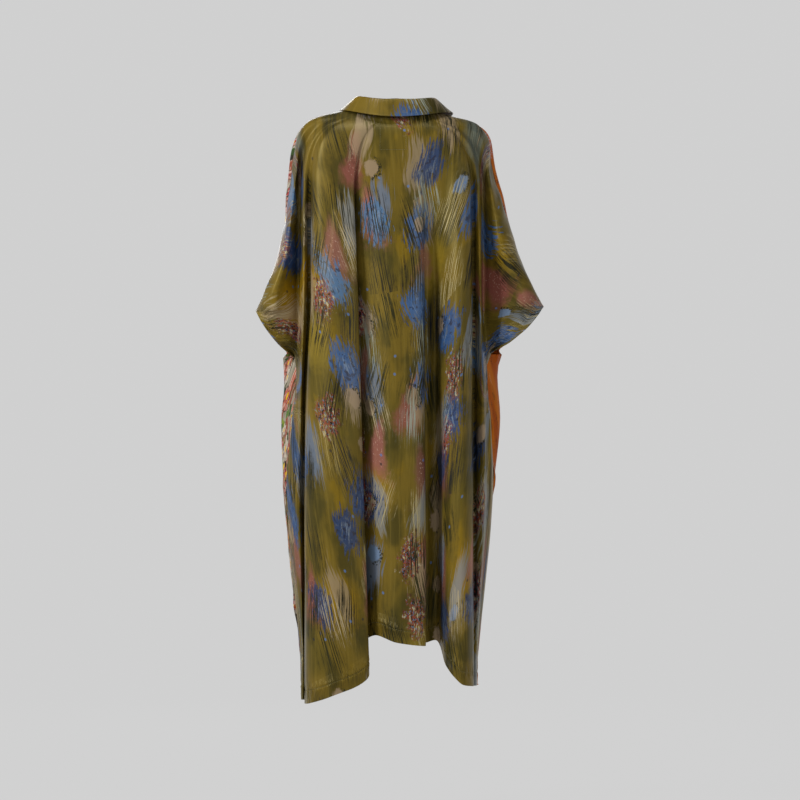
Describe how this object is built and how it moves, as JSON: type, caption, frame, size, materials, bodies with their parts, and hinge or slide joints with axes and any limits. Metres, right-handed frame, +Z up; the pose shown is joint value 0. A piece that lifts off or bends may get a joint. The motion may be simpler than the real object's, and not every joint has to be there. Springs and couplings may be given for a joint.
{
  "type": "shirt-collared kaftan",
  "caption": "Long wide kaftan with cut-in elbow sleeves, a folded shirt collar and a slit neck, filled out as worn, with pipe folds down to an uneven hem.",
  "frame": {"origin": "between the neck points of the two shoulders, where the wearer's shoulders carry the garment", "axes": "+Z up, -Y out of the front, +Y out of the back, +X to the wearer's left"},
  "size_m": [0.606, 0.2836, 1.2744],
  "materials": {
    "olive_print_satin": "satin weave, painterly print on olive",
    "floral_print_satin": "satin weave, loose flower print",
    "orange_print_satin": "satin weave, small dark print on orange",
    "collar_print_satin": "satin weave, the print of the back"
  },
  "bodies": {
    "root": {"back": "olive_print_satin", "left_front": "floral_print_satin", "right_front": "orange_print_satin", "collar": "collar_print_satin"}
  },
  "joints": []
}
